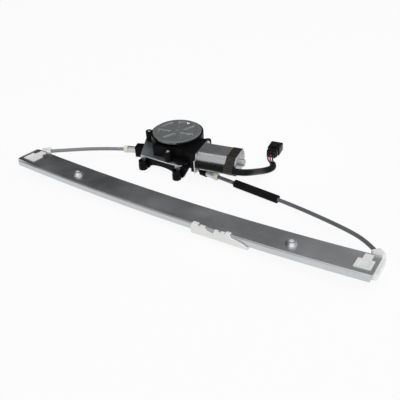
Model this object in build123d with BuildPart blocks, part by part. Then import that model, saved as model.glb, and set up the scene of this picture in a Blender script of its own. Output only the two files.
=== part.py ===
from build123d import *
import os
from math import atan2, cos, degrees, pi, radians, sin, tan

os.makedirs("parts", exist_ok=True)

# Frame: the drive axis is Z, the three feet stand on z = 0, the guide rail runs along X.
# All lengths are millimetres.

# Shared clearances
RUN_FIT = 0.05
SLIDE_FIT = 0.4
SEAT_GAP = 0.1

# Guide rail
RAIL_LENGTH = 560.0
RAIL_WIDTH = 44.0
RAIL_SHEET = 1.2
RAIL_FLANGE = 9.1
RAIL_FOLD = 2.2
RAIL_CORNER = 4.0
RAIL_BOW = 4088.0
RAIL_TILT = 5.5
RAIL_MID = (87.0, -138.0, 16.0)
BOSS_INSET = 106.0
BOSS_SPACING = RAIL_LENGTH - 2 * BOSS_INSET
BOSS_ACROSS = -2.0
BOSS_HEIGHT = 4.4
BOSS_BASE = 16.0
BOSS_TOP = 11.6
RAIL_BOLT_HOLE = 6.6

# Cable guides at the two rail ends, sizes across y in the rail's own frame
GUIDE_INSET = 15.0
GUIDE_AT = RAIL_LENGTH / 2 - GUIDE_INSET
GUIDE_INNER = 17.0
GUIDE_OUTER = 19.0
GUIDE_FRONT = 16.0
GUIDE_BACK = 23.0
GUIDE_DEPTH = 8.0
STEP_LENGTH = 20.6
STEP_FRONT = 12.4
STEP_BACK = 6.8
LUG_LENGTH = 10.6
LUG_BACK = 18.8
SNAP_PROUD = 0.9
SNAP_DIP = 12.8
WINDOW_GAP = 0.4
SOCKET_SIZE = 13.0
SOCKET_CORNER = 2.0
GUIDE_MOUTH = (4.0, 30.2, -1.0)

# Lift cable along the rail and its turn in each guide
CABLE_D = 1.5
CABLE_LINE = -8.0
CABLE_DROP = 5.6
CABLE_TURN = 13.0

# Slider on the rail's front flange
SLIDER_AT = 83.0
SLIDER_LENGTH = 84.0
SLIDER_LIP = 2.2
SLIDER_LIP_RISE = 4.6
SLIDER_WALL = 4.5
SLIDER_BACK = 16.0
SLIDER_DEPTH = 12.6
SLIDER_DECK = 9.0
CLIP_RISE = 1.5
LONG_CLIP = 32.0
LONG_CLIP_REACH = 3.6
SHORT_CLIP = 23.0
SHORT_CLIP_REACH = 1.4
CLIP_SPACE = 4.0
NIPPLE_D = 5.0
NIPPLE_LENGTH = 8.0
NIPPLE_AT = 25.0
BRACKET_SHEET = 2.0
BRACKET_WIDTH = 30.0
GLASS_HOLE_SPACING = 56.0
GLASS_HOLE = 6.6
RIVET_D = 4.0
RIVET_SPACING = 22.0
RIVET_ACROSS = 8.0

# Drive unit
FEET = ((-31.5, -55.0), (33.0, -56.0), (-8.0, 50.0))
FOOT_R = 6.9
FOOT_TOP = 8.0
BUSH_R = 5.0
BUSH_BORE = 6.6
PLATE_BOTTOM = 21.0
PLATE_SHEET = 2.0
PLATE_CORNERS = ((-33.0, -49.0), (36.0, -49.0), (-57.5, -2.0))
PLATE_RIM = 4.0
PLATE_FRONT = PLATE_CORNERS[0][1] - PLATE_RIM
TAB_WIDTH = 8.5
TAB_SHOULDER = 8.0
TAB_POINT = 13.0
DRUM_R = 18.0
DRUM_FLANGE = 3.0
DRUM_BOTTOM = 5.0
DRUM_HEIGHT = 12.0
DRUM_GROOVES = 4
DRUM_WALL = 3.0
DRUM_SPACE = 1.2
HOUSING_FLOOR = 2.0
WEB = 5.0
WEB_REACH = 0.88
WALL_SET = 5.0
ARCH_RISE = 1.5
ARCH_CROWN = 7.7
GUSSET = 19.0
SOCKET_LENGTH = 64.0
SOCKET_WIDTH = 15.0
SOCKET_LOW = 4.0
MOUTH_R = 6.8
MOUTH_LENGTH = 11.0
ARM_WIDTH = 12.0
ARM_LOW = 8.5
ARM_HIGH = 13.0
SHAFT_R = 5.0

# Gear train
WHEEL_TEETH = 54
MODULE = 1.0
WORM_PITCH_R = 5.2
WORM_LENGTH = 24.0
TOOTH_WIDTH = 1.25
WHEEL_FACE = 9.0
WHEEL_BORE = 34.0
DAMPER_BORE = 18.0
GEAR_SPACE = 0.8
WORM_SPACE = 0.4
TOOTH_TIP = 0.9
TOOTH_ROOT = 1.3
PRESSURE_ANGLE = 20.0
GEAR_FLOOR = 2.0
GEAR_TOP = 41.0
SCREW_OUT = 12.7
SCREW_ANGLES = (189.0, 287.0, 10.5)
EAR_R = 5.6
EAR_TOP = 38.0
SCREW_D = 4.0
SCREW_HEAD = 8.0
SCREW_HEAD_HEIGHT = 2.6
COVER_R = 38.3
CASE_WALL = 3.0
COVER_SHEET = 1.2
COVER_DISC = 3.0
COVER_TOP = 49.0
COVER_PRESS = 1.7
PANEL_IN = 9.0
PANEL_OUT = 31.5
PANELS = 6
SPOKE_WIDTH = 5.8
SPOKE_ANGLE = 8.0
PANEL_CORNER = 1.6
HUB_DIMPLE = 5.0
COLLAR_RISE = 5.6
COLLAR_FROM = 250.0
COLLAR_TO = 303.0
TUNNEL_HALF = 11.0
FLARE_AT = 26.0
SEAT_LENGTH = 8.0

# Motor
MOTOR_ANGLE = 9.0
MOTOR_HEIGHT = 30.0
FLANGE_AT = 54.7
FLANGE_SHEET = 2.0
FLANGE_WIDTH = 47.0
CAN_FLAT = 15.5
CAN_R = 21.5
CAN_WALL = 1.6
CAN_EDGE = 4.0
CAN_LENGTH = 60.0
BEARING_R = 4.2
BEARING_LENGTH = 7.0
ARMATURE_SHAFT_R = 3.0
CAN_ROUND = 2.0
FLANGE_CORNER = 3.0
FLANGE_SCREWS = ((-20.8, -12.8), (20.8, 12.8))
FLANGE_SCREW_D = 3.0
FLANGE_HEAD = 5.0
CORE_R = 13.2
BRUSH_ROOM = 19.3
END_ROOM = 12.7
SLOTS = 8
SLOT_WIDTH = 2.4
SLOT_ROOT_R = 6.5
WINDING = 5.0
COMMUTATOR_R = 7.0
COMMUTATOR_LENGTH = 13.0
BRUSH = 6.0
BRUSH_GAP = 1.0
CARD_SHEET = 3.0
MAGNET_T = 5.4
MAGNET_HEIGHT = 23.0
AIR_GAP = 0.6

# Conduits and their ferrules
CONDUIT_D = 5.6
FERRULE_D = 11.0
FERRULE_LENGTH = 14.5
FERRULE_SEAT = 8.0
CAP_D = 11.6
CAP_LENGTH = 6.5
UPPER_PORT = (-62.6, -29.9, 13.0)
UPPER_HEADING = 200.0
LOWER_PORT = (72.0, -29.6, 7.0)
LOWER_HEADING = -7.2
FOAM_D = 10.4
FOAM_LENGTH = 74.0
FOAM_AT = 14.0
CONDUIT_SHARE = 0.1

# Harness
LEAD_D = 10.0
TAPE_INSET = 15.2
TAPE_WIDTH = 14.0
TAPE_T = 0.5
WIRE_D = 2.0
WIRE_PITCH = 2.6
WIRE_BITE = 1.0
CONNECTOR_LENGTH = 28.0
CONNECTOR_WIDTH = 20.0
CONNECTOR_HEIGHT = 14.0
CONNECTOR_COLLAR = 9.0
CONNECTOR_NECK = (17.0, 12.0)
CONNECTOR_WALL = 2.0
CONNECTOR_CORNER = 2.0
CONNECTOR_PLACE = (133.0, 68.0, 0.0)
CONNECTOR_HEADING = 98.0
LOCK_HEIGHT = 2.4
LOCK_LENGTH = 14.0
LOCK_WIDTH = 8.4
LOCK_CORNER = 1.5
WIRE_SPREAD = 4.5
CORD_SHARE = 0.45
LEAD_OUT = 10.5
PIGTAIL_POINTS = [
    (142.0, -28.5, 27.0), (143.0, -11.0, 18.8), (143.0, 5.0, 11.0), (144.5, 15.5, 6.6),
    (148.0, 23.0, 5.1), (151.5, 31.0, 5.0), (151.0, 39.5, 5.0), (146.5, 46.5, 5.1),
]

# Work planes
RAIL = Plane(
    origin=RAIL_MID,
    x_dir=(1, 0, 0),
    z_dir=(0, sin(radians(RAIL_TILT)), cos(radians(RAIL_TILT))),
)
WHEEL_PITCH_R = WHEEL_TEETH * MODULE / 2
WORM_DISTANCE = WHEEL_PITCH_R + WORM_PITCH_R
PLATE_TOP = PLATE_BOTTOM + PLATE_SHEET
MOTOR = Plane(
    origin=(
        WORM_DISTANCE * sin(radians(MOTOR_ANGLE)),
        -WORM_DISTANCE * cos(radians(MOTOR_ANGLE)),
        MOTOR_HEIGHT,
    ),
    x_dir=(cos(radians(MOTOR_ANGLE)), sin(radians(MOTOR_ANGLE)), 0),
    z_dir=(0, 0, 1),
)


def inside(base, origin, x_dir=(1, 0, 0), z_dir=(0, 0, 1)):
    """Plane given in the coordinates of another plane."""
    return Plane(
        origin=base.from_local_coords(origin),
        x_dir=base.from_local_coords(x_dir) - base.origin,
        z_dir=base.from_local_coords(z_dir) - base.origin,
    )


def rail_station(along, across=0.0, rise=0.0):
    """Plane tangent to the rail's top face at a distance along its bow."""
    turn = along / RAIL_BOW
    normal = Vector(-sin(turn), 0, cos(turn))
    origin = Vector(RAIL_BOW * sin(turn), across, RAIL_BOW * (1 - cos(turn))) + normal * rise
    return inside(RAIL, origin, (cos(turn), 0, sin(turn)), normal)


def rail_section(along):
    """Plane across the rail, its x along the rail's width and its y up."""
    station = rail_station(along)
    return Plane(origin=station.origin, x_dir=station.y_dir, z_dir=station.x_dir)


def motor_section(along, across=0.0, rise=0.0):
    """Plane across the motor, its x along the motor's width and its y up."""
    return inside(MOTOR, (along, across, rise), (0, 1, 0), (1, 0, 0))


def heading_plane(origin, heading):
    """Plane whose normal points along a level heading in degrees."""
    turn = radians(heading)
    return Plane(origin=origin, x_dir=(-sin(turn), cos(turn), 0), z_dir=(cos(turn), sin(turn), 0))


def corner_radii(points, share):
    """Arc radius at each inner point, as large as a share of the shorter run allows."""
    radii = []
    for before, here, after in zip(points, points[1:], points[2:]):
        run_in = Vector(here) - Vector(before)
        run_out = Vector(after) - Vector(here)
        half_turn = radians(run_in.get_angle(run_out)) / 2
        radii.append(share * min(run_in.length, run_out.length) / tan(half_turn))
    return radii


def tube_path(points, share):
    """Straight runs joined by tangent arcs through a list of points."""
    with BuildLine() as path:
        FilletPolyline(*points, radius=corner_radii(points, share))
    return path


def start_plane(points):
    """Plane square to the first run of a path."""
    return Plane(origin=points[0], z_dir=Vector(points[1]) - Vector(points[0]))


def keep(piece, name):
    """Label a finished piece and write it."""
    piece.label = name
    export_step(piece, f"parts/{name}.step")


# Guide rail: one bowed sheet, front edge folded down, two conical bolt bosses, end windows
BOW_AXIS = Axis(RAIL.from_local_coords((0, 0, RAIL_BOW)), -RAIL.y_dir)
SHEET_HALF = RAIL_LENGTH / 2 + RAIL_CORNER
HALF_TURN = degrees(SHEET_HALF / RAIL_BOW)
BOSS_FOOT = RAIL_BOW * (1 - cos(BOSS_SPACING / 2 / RAIL_BOW))
FRONT_FACE = -RAIL_WIDTH / 2
FLANGE_INNER = FRONT_FACE + RAIL_SHEET

with BuildPart() as guide_rail:
    with BuildSketch(rail_section(-SHEET_HALF)) as profile:
        with BuildLine():
            Polyline(
                (RAIL_WIDTH / 2, 0),
                (FRONT_FACE, 0),
                (FRONT_FACE, -RAIL_FLANGE),
                (FLANGE_INNER, -RAIL_FLANGE),
                (FLANGE_INNER, -RAIL_SHEET),
                (RAIL_WIDTH / 2, -RAIL_SHEET),
                close=True,
            )
        make_face()
        fillet(profile.vertices().sort_by_distance((FRONT_FACE, 0))[0], RAIL_FOLD)
        inner_fold = profile.vertices().sort_by_distance((FLANGE_INNER, -RAIL_SHEET))[0]
        fillet(inner_fold, RAIL_FOLD - RAIL_SHEET)
    revolve(axis=BOW_AXIS, revolution_arc=2 * HALF_TURN)
    with BuildSketch(RAIL):
        RectangleRounded(2 * RAIL_BOW * sin(RAIL_LENGTH / RAIL_BOW / 2), RAIL_WIDTH, RAIL_CORNER)
    extrude(amount=RAIL_WIDTH, both=True, mode=Mode.INTERSECT)
    for side in (-1, 1):
        with BuildSketch(rail_station(side * GUIDE_AT)):
            with Locations((0, (STEP_BACK - STEP_FRONT) / 2)):
                Rectangle(STEP_LENGTH + 2 * WINDOW_GAP, STEP_FRONT + STEP_BACK + 2 * WINDOW_GAP)
            with Locations((0, LUG_BACK / 2)):
                Rectangle(LUG_LENGTH + 2 * WINDOW_GAP, LUG_BACK + 2 * WINDOW_GAP)
        extrude(amount=2 * RAIL_SHEET, both=True, mode=Mode.SUBTRACT)
        boss_place = (side * BOSS_SPACING / 2, BOSS_ACROSS, BOSS_FOOT - RAIL_SHEET / 2)
        boss = inside(RAIL, boss_place)
        with BuildSketch(boss):
            Circle(BOSS_BASE / 2)
        with BuildSketch(boss.offset(BOSS_HEIGHT + RAIL_SHEET / 2)):
            Circle(BOSS_TOP / 2)
        loft()
        with BuildSketch(boss.offset(-RAIL_SHEET)):
            Circle(BOSS_BASE / 2 - RAIL_SHEET)
        with BuildSketch(boss.offset(BOSS_HEIGHT - RAIL_SHEET / 2)):
            Circle(BOSS_TOP / 2 - RAIL_SHEET)
        loft(mode=Mode.SUBTRACT)
        with BuildSketch(boss):
            Circle(RAIL_BOLT_HOLE / 2)
        extrude(amount=2 * BOSS_HEIGHT, mode=Mode.SUBTRACT)
keep(guide_rail.part, "guide_rail")


# Cable guides: a deck under the rail, a stepped snap through the window, a conduit socket behind the edge
def cable_guide(side, conduit_end, conduit_from):
    """One end guide; side is -1 for the left rail end and 1 for the right."""
    top = rail_station(side * GUIDE_AT)
    inward = Vector(conduit_end) - Vector(conduit_from)
    with BuildPart() as guide:
        with BuildSketch(top.offset(-RAIL_SHEET)):
            with Locations((side * (GUIDE_OUTER - GUIDE_INNER) / 2, (GUIDE_BACK - GUIDE_FRONT) / 2)):
                RectangleRounded(GUIDE_OUTER + GUIDE_INNER, GUIDE_BACK + GUIDE_FRONT, RAIL_CORNER)
        extrude(amount=-GUIDE_DEPTH)
        with BuildSketch(Plane(origin=conduit_end, x_dir=(0, 0, 1), z_dir=inward)):
            RectangleRounded(GUIDE_DEPTH, SOCKET_SIZE, SOCKET_CORNER)
        extrude(amount=SOCKET_SIZE)
        with BuildSketch(top.offset(-RAIL_SHEET)):
            Rectangle(4 * GUIDE_OUTER, RAIL_WIDTH + 2 * SEAT_GAP)
        extrude(amount=GUIDE_DEPTH, mode=Mode.SUBTRACT)
        with BuildSketch(top.offset(-RAIL_SHEET)):
            with Locations((0, (STEP_BACK - STEP_FRONT) / 2)):
                Rectangle(STEP_LENGTH, STEP_FRONT + STEP_BACK)
            with Locations((0, LUG_BACK / 2)):
                Rectangle(LUG_LENGTH, LUG_BACK)
        extrude(amount=RAIL_SHEET + SNAP_PROUD)
        with BuildSketch(top.offset(SNAP_PROUD)):
            with Locations((0, (STEP_BACK - STEP_FRONT) / 2 - SNAP_PROUD)):
                Rectangle(SNAP_DIP, STEP_FRONT)
        extrude(amount=-SNAP_PROUD, mode=Mode.SUBTRACT)
        with BuildSketch(Plane(origin=conduit_end, z_dir=inward)):
            Circle(CONDUIT_D / 2)
        extrude(amount=SOCKET_SIZE / 2, mode=Mode.SUBTRACT)
        with BuildSketch(top.offset(-RAIL_SHEET - GUIDE_DEPTH)):
            with Locations((0, CABLE_LINE + CABLE_TURN)):
                Circle(CABLE_TURN + CABLE_D)
                Circle(CABLE_TURN - CABLE_D, mode=Mode.SUBTRACT)
                with Locations((-side * GUIDE_OUTER, 0)):
                    Rectangle(2 * GUIDE_OUTER, 4 * CABLE_TURN, mode=Mode.SUBTRACT)
            with Locations((-side * GUIDE_INNER / 2, CABLE_LINE)):
                Rectangle(GUIDE_INNER + CABLE_D, 2 * CABLE_D)
        extrude(amount=GUIDE_DEPTH + RAIL_SHEET - CABLE_DROP + CABLE_D, mode=Mode.SUBTRACT)
    return guide.part


def guide_mouth(side):
    """Point where a conduit enters the cable guide."""
    return tuple(rail_station(side * GUIDE_AT).from_local_coords(GUIDE_MOUTH))


UPPER_ROUTE = [
    (-105.0, -46.5, 14.0), (-127.0, -67.0, 16.6), (-150.0, -88.0, 19.2), guide_mouth(-1),
]
LOWER_ROUTE = [
    (110.0, -34.2, 7.0), (204.0, -45.6, 7.4), (253.0, -56.4, 9.6),
    (309.0, -74.5, 14.4), (339.0, -90.0, 18.0), guide_mouth(1),
]
keep(cable_guide(-1, UPPER_ROUTE[-1], UPPER_ROUTE[-2]), "upper_cable_guide")
keep(cable_guide(1, LOWER_ROUTE[-1], LOWER_ROUTE[-2]), "lower_cable_guide")

# Lift cable: runs under the rail from guide to guide, parallel to the bow
CABLE_HALF = degrees((GUIDE_AT - GUIDE_INNER + CABLE_D) / RAIL_BOW)
with BuildPart() as lift_cable:
    with BuildSketch(rail_section(-GUIDE_AT + GUIDE_INNER - CABLE_D)):
        with Locations((CABLE_LINE, -CABLE_DROP)):
            Circle(CABLE_D / 2)
    revolve(axis=BOW_AXIS, revolution_arc=2 * CABLE_HALF)
keep(lift_cable.part, "lift_cable")

# Slider: wraps the front flange, two hook clips over the fold, a web to the cable under the rail
LIP_FACE = FRONT_FACE - SLIDE_FIT
SLIDER_FRONT = LIP_FACE - SLIDER_LIP
WALL_BACK = FLANGE_INNER + SLIDE_FIT + SLIDER_WALL
LIP_TOP = -RAIL_FLANGE + SLIDER_LIP_RISE - SLIDE_FIT
LEFT_END = -SLIDER_LENGTH / 2
SECOND_CLIP = LEFT_END + LONG_CLIP + CLIP_SPACE
SLIDER_PLANE = rail_station(SLIDER_AT)


def slider_section(offset):
    """Plane across the slider, its x along the rail's width and its y up."""
    return inside(SLIDER_PLANE, (offset, 0, 0), (0, 1, 0), (1, 0, 0))


with BuildPart() as slider:
    with BuildSketch(slider_section(LEFT_END)):
        with BuildLine():
            Polyline(
                (SLIDER_FRONT, LIP_TOP),
                (SLIDER_FRONT, -SLIDER_DEPTH),
                (WALL_BACK, -SLIDER_DEPTH),
                (SLIDER_BACK, -SLIDER_DEPTH),
                (SLIDER_BACK, -SLIDER_DEPTH + SLIDER_DECK),
                (WALL_BACK, -SLIDER_DEPTH + SLIDER_DECK),
                (WALL_BACK, -RAIL_SHEET - SLIDE_FIT),
                (FLANGE_INNER + SLIDE_FIT + RAIL_FOLD, -RAIL_SHEET - SLIDE_FIT),
                (FLANGE_INNER + SLIDE_FIT, -RAIL_SHEET - SLIDE_FIT - RAIL_FOLD),
                (FLANGE_INNER + SLIDE_FIT, -RAIL_FLANGE - SLIDE_FIT),
                (LIP_FACE, -RAIL_FLANGE - SLIDE_FIT),
                (LIP_FACE, LIP_TOP),
                close=True,
            )
        make_face()
    extrude(amount=SLIDER_LENGTH)
    for start, length, reach in (
        (LEFT_END, LONG_CLIP, LONG_CLIP_REACH),
        (SECOND_CLIP, SHORT_CLIP, SHORT_CLIP_REACH),
    ):
        with BuildSketch(slider_section(start)):
            with BuildLine():
                Polyline(
                    (SLIDER_FRONT, LIP_TOP - SLIDE_FIT),
                    (SLIDER_FRONT, CLIP_RISE / 2),
                    (SLIDER_FRONT + CLIP_RISE, SLIDE_FIT + CLIP_RISE),
                    (FRONT_FACE + reach, SLIDE_FIT + CLIP_RISE / 2),
                    (FRONT_FACE + reach, SLIDE_FIT),
                    (LIP_FACE, SLIDE_FIT),
                    (LIP_FACE, LIP_TOP - SLIDE_FIT),
                    close=True,
                )
            make_face()
        extrude(amount=length)
    with BuildSketch(rail_station(SLIDER_AT, CABLE_LINE, -CABLE_DROP - CABLE_D)):
        Rectangle(SLIDER_LENGTH, 2 * CABLE_D)
    extrude(amount=SLIDER_DEPTH, mode=Mode.SUBTRACT)
    with BuildSketch(rail_station(SLIDER_AT, CABLE_LINE, -CABLE_DROP - NIPPLE_D / 2)):
        with GridLocations(2 * NIPPLE_AT, 0, 2, 1):
            Rectangle(NIPPLE_LENGTH, NIPPLE_D)
    extrude(amount=SLIDER_DEPTH, mode=Mode.SUBTRACT)
    with BuildSketch(rail_station(SLIDER_AT, RIVET_ACROSS, -SLIDER_DEPTH)):
        with GridLocations(RIVET_SPACING, 0, 2, 1):
            Circle(RIVET_D / 2)
    extrude(amount=SLIDER_DEPTH, mode=Mode.SUBTRACT)
keep(slider.part, "slider")

# Glass bracket under the slider, with two bolt holes for the glass channel
BRACKET_LENGTH = GLASS_HOLE_SPACING + 4 * RAIL_CORNER
with BuildPart() as glass_bracket:
    with BuildSketch(rail_station(SLIDER_AT, 0, -SLIDER_DEPTH)):
        with Locations((0, SLIDER_BACK - BRACKET_WIDTH / 2)):
            RectangleRounded(BRACKET_LENGTH, BRACKET_WIDTH, RAIL_CORNER)
            with GridLocations(GLASS_HOLE_SPACING, 0, 2, 1):
                Circle(GLASS_HOLE / 2, mode=Mode.SUBTRACT)
        with Locations((0, RIVET_ACROSS)):
            with GridLocations(RIVET_SPACING, 0, 2, 1):
                Circle(RIVET_D / 2, mode=Mode.SUBTRACT)
    extrude(amount=-BRACKET_SHEET)
keep(glass_bracket.part, "glass_bracket")

# Bracket rivets, flush with the bracket below and the slider's deck above
with BuildPart() as bracket_rivets:
    with BuildSketch(rail_station(SLIDER_AT, RIVET_ACROSS, -SLIDER_DEPTH - BRACKET_SHEET)):
        with GridLocations(RIVET_SPACING, 0, 2, 1):
            Circle(RIVET_D / 2)
    extrude(amount=BRACKET_SHEET + SLIDER_DECK)
keep(bracket_rivets.part, "bracket_rivets")

# Cable nipples: barrels in the slider's pockets, clear of the running cable
with BuildPart() as cable_nipples:
    for side in (-1, 1):
        with BuildSketch(slider_section(side * NIPPLE_AT - NIPPLE_LENGTH / 2)):
            with Locations((CABLE_LINE, -CABLE_DROP)):
                Circle(NIPPLE_D / 2)
                Circle(CABLE_D / 2 + SLIDE_FIT, mode=Mode.SUBTRACT)
        extrude(amount=NIPPLE_LENGTH)
keep(cable_nipples.part, "cable_nipples")


# Drive unit
def polar(radius, angle):
    """Point on a circle about the drive axis."""
    return (radius * cos(radians(angle)), radius * sin(radians(angle)))


def along_heading(point, heading, distance):
    """Point moved along a level heading."""
    turn = radians(heading)
    return (point[0] + distance * cos(turn), point[1] + distance * sin(turn), point[2])


SCREW_CIRCLE = COVER_R + SCREW_OUT
SCREW_POINTS = [polar(SCREW_CIRCLE, angle) for angle in SCREW_ANGLES]
DRUM_CAVITY_R = DRUM_R + DRUM_FLANGE + DRUM_SPACE
CUP_R = DRUM_CAVITY_R + DRUM_WALL
CASE_R = COVER_R + CASE_WALL

# Mounting plate: sheet under the gear housing, pointed tabs folded down above the two front feet
with BuildPart() as mounting_plate:
    with BuildSketch(Plane.XY.offset(PLATE_BOTTOM)):
        Circle(CASE_R)
        with Locations(*PLATE_CORNERS):
            Circle(PLATE_RIM)
        with Locations(*SCREW_POINTS):
            Circle(EAR_R)
        make_hull()
        with Locations(*SCREW_POINTS):
            Circle(SCREW_D / 2, mode=Mode.SUBTRACT)
        Circle(SHAFT_R + SLIDE_FIT, mode=Mode.SUBTRACT)
        with Locations(tuple(MOTOR.from_local_coords((FLANGE_AT, 0, 0)))[:2]):
            Rectangle(
                2 * (SEAT_LENGTH + SEAT_GAP),
                FLANGE_WIDTH + 2 * SEAT_GAP,
                rotation=MOTOR_ANGLE,
                mode=Mode.SUBTRACT,
            )
    extrude(amount=PLATE_SHEET)
    for foot_x, _ in FEET[:2]:
        tab_fold = (foot_x, PLATE_FRONT, PLATE_TOP)
        with BuildSketch(Plane(origin=tab_fold, x_dir=(1, 0, 0), z_dir=(0, -1, 0))):
            with BuildLine():
                Polyline(
                    (-TAB_WIDTH / 2, 0),
                    (TAB_WIDTH / 2, 0),
                    (TAB_WIDTH / 2, -TAB_SHOULDER),
                    (0, -TAB_POINT),
                    (-TAB_WIDTH / 2, -TAB_SHOULDER),
                    close=True,
                )
            make_face()
        extrude(amount=-PLATE_SHEET)
keep(mounting_plate.part, "mounting_plate")

# Steel bushes in the three feet
with BuildPart() as foot_bushes:
    with BuildSketch(Plane.XY):
        with Locations(*FEET):
            Circle(BUSH_R)
            Circle(BUSH_BORE / 2, mode=Mode.SUBTRACT)
    extrude(amount=FOOT_TOP)
keep(foot_bushes.part, "foot_bushes")

# Drum housing: cup for the drum, feet, webs, arched front wall with a gusset, two ferrule sockets
front_left, front_right = FEET[0], FEET[1]
WALL_MID = (Vector(*front_left) + Vector(*front_right)) / 2
WALL_BACK = (WALL_MID.X, WALL_MID.Y + WALL_SET + WEB, 0)
WALL_HALF = (front_right[0] - front_left[0]) / 2
UPPER_MIDDLE = along_heading(UPPER_PORT, UPPER_HEADING, -SOCKET_LENGTH / 2)
ARM_MIDDLE = along_heading(LOWER_PORT, LOWER_HEADING, -(MOUTH_LENGTH + SOCKET_LENGTH) / 2)
with BuildPart() as drum_housing:
    with BuildSketch(Plane.XY):
        with Locations(*FEET):
            Circle(FOOT_R)
    extrude(amount=FOOT_TOP)
    with BuildSketch(Plane.XY.offset(HOUSING_FLOOR)):
        Circle(CUP_R)
        for foot_x, foot_y in FEET:
            web = Vector(foot_x, foot_y) * WEB_REACH
            with Locations(web / 2):
                Rectangle(web.length, WEB, rotation=degrees(atan2(foot_y, foot_x)))
    extrude(amount=PLATE_BOTTOM - HOUSING_FLOOR)
    with BuildSketch(Plane(origin=WALL_BACK, x_dir=(1, 0, 0), z_dir=(0, -1, 0))):
        with BuildLine():
            Polyline(
                (-WALL_HALF - FOOT_R, 0),
                (WALL_HALF + FOOT_R, 0),
                (WALL_HALF + GUSSET, PLATE_BOTTOM),
                (-WALL_HALF - FOOT_R, PLATE_BOTTOM),
                close=True,
            )
        make_face()
        with Locations((0, ARCH_RISE / 2)):
            Rectangle(2 * (WALL_HALF - FOOT_R), ARCH_RISE, mode=Mode.SUBTRACT)
        with Locations((0, ARCH_RISE)):
            Ellipse(WALL_HALF - FOOT_R, ARCH_CROWN, mode=Mode.SUBTRACT)
    extrude(amount=WEB)
    with BuildSketch(Plane.XY.offset(SOCKET_LOW)):
        with Locations(UPPER_MIDDLE[:2]):
            Rectangle(SOCKET_LENGTH, SOCKET_WIDTH, rotation=UPPER_HEADING)
    extrude(amount=PLATE_BOTTOM - SOCKET_LOW)
    with BuildSketch(Plane.XY.offset(ARM_LOW)):
        with Locations(ARM_MIDDLE[:2]):
            Rectangle(SOCKET_LENGTH, ARM_WIDTH, rotation=LOWER_HEADING)
    extrude(amount=ARM_HIGH - ARM_LOW)
    with BuildSketch(heading_plane(LOWER_PORT, LOWER_HEADING)):
        Circle(MOUTH_R)
    extrude(amount=-MOUTH_LENGTH)
    with BuildSketch(Plane.XY.offset(2 * HOUSING_FLOOR)):
        Circle(DRUM_CAVITY_R)
    extrude(amount=PLATE_BOTTOM, mode=Mode.SUBTRACT)
    with BuildSketch(Plane.XY):
        Circle(SHAFT_R + RUN_FIT)
        with Locations(*FEET):
            Circle(BUSH_R)
    extrude(amount=FOOT_TOP, mode=Mode.SUBTRACT)
    for port, heading in ((UPPER_PORT, UPPER_HEADING), (LOWER_PORT, LOWER_HEADING)):
        with BuildSketch(heading_plane(port, heading)):
            Circle(FERRULE_D / 2)
        extrude(amount=-FERRULE_SEAT, mode=Mode.SUBTRACT)
        with BuildSketch(heading_plane(port, heading)):
            Circle(CABLE_D)
        extrude(amount=-SOCKET_LENGTH, mode=Mode.SUBTRACT)
keep(drum_housing.part, "drum_housing")

# Cable drum with vee grooves
GROOVE_PITCH = (DRUM_HEIGHT - 2 * DRUM_WALL) / DRUM_GROOVES
GROOVE_START = DRUM_BOTTOM + DRUM_WALL
with BuildPart() as cable_drum:
    with BuildSketch(Plane.XY.offset(DRUM_BOTTOM)):
        Circle(DRUM_R + DRUM_FLANGE)
    extrude(amount=DRUM_HEIGHT)
    groove_line = [(DRUM_R + DRUM_FLANGE, GROOVE_START), (DRUM_R, GROOVE_START)]
    for turn in range(DRUM_GROOVES):
        foot = GROOVE_START + turn * GROOVE_PITCH
        groove_line.append((DRUM_R - GROOVE_PITCH / 2, foot + GROOVE_PITCH / 2))
        groove_line.append((DRUM_R, foot + GROOVE_PITCH))
    groove_line.append((DRUM_R + DRUM_FLANGE, groove_line[-1][1]))
    with BuildSketch(Plane.XZ):
        with BuildLine():
            Polyline(*groove_line, close=True)
        make_face()
    revolve(axis=Axis.Z, mode=Mode.SUBTRACT)
    with BuildSketch(Plane.XY):
        Circle(SHAFT_R)
        with PolarLocations((SHAFT_R + DRUM_R) / 2, PANELS):
            Circle(DRUM_WALL)
    extrude(amount=PLATE_BOTTOM, mode=Mode.SUBTRACT)
keep(cable_drum.part, "cable_drum")

# Drive shaft: hub and flange in the damper, journal in the gear housing, seat for the drum
WHEEL_BOTTOM = MOTOR_HEIGHT - WHEEL_FACE / 2
WHEEL_TOP = MOTOR_HEIGHT + WHEEL_FACE / 2
with BuildPart() as drive_shaft:
    with BuildSketch(Plane.XY.offset(HOUSING_FLOOR)):
        Circle(SHAFT_R)
    extrude(amount=WHEEL_TOP - HOUSING_FLOOR)
    with BuildSketch(Plane.XY.offset(WHEEL_BOTTOM)):
        Circle(DAMPER_BORE / 2)
    extrude(amount=WHEEL_FACE)
    with BuildSketch(Plane.XY.offset(WHEEL_TOP)):
        Circle(WHEEL_BORE / 2 - DRUM_SPACE)
    extrude(amount=PLATE_SHEET)
keep(drive_shaft.part, "drive_shaft")

# Rubber damper between the hub and the wheel
with BuildPart() as rubber_damper:
    with BuildSketch(Plane.XY.offset(WHEEL_BOTTOM)):
        Circle(WHEEL_BORE / 2)
        Circle(DAMPER_BORE / 2, mode=Mode.SUBTRACT)
    extrude(amount=WHEEL_FACE)
keep(rubber_damper.part, "rubber_damper")

# Worm wheel: helical teeth that follow the worm's lead
PITCH = pi * MODULE
TIP = TOOTH_TIP * MODULE
ROOT = TOOTH_ROOT * MODULE
FLANK = tan(radians(PRESSURE_ANGLE))
LEAD_TWIST = WHEEL_FACE / 2 * MODULE / (2 * WORM_PITCH_R) / WHEEL_PITCH_R
WORM_SIDE = radians(MOTOR_ANGLE - 90)


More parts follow.
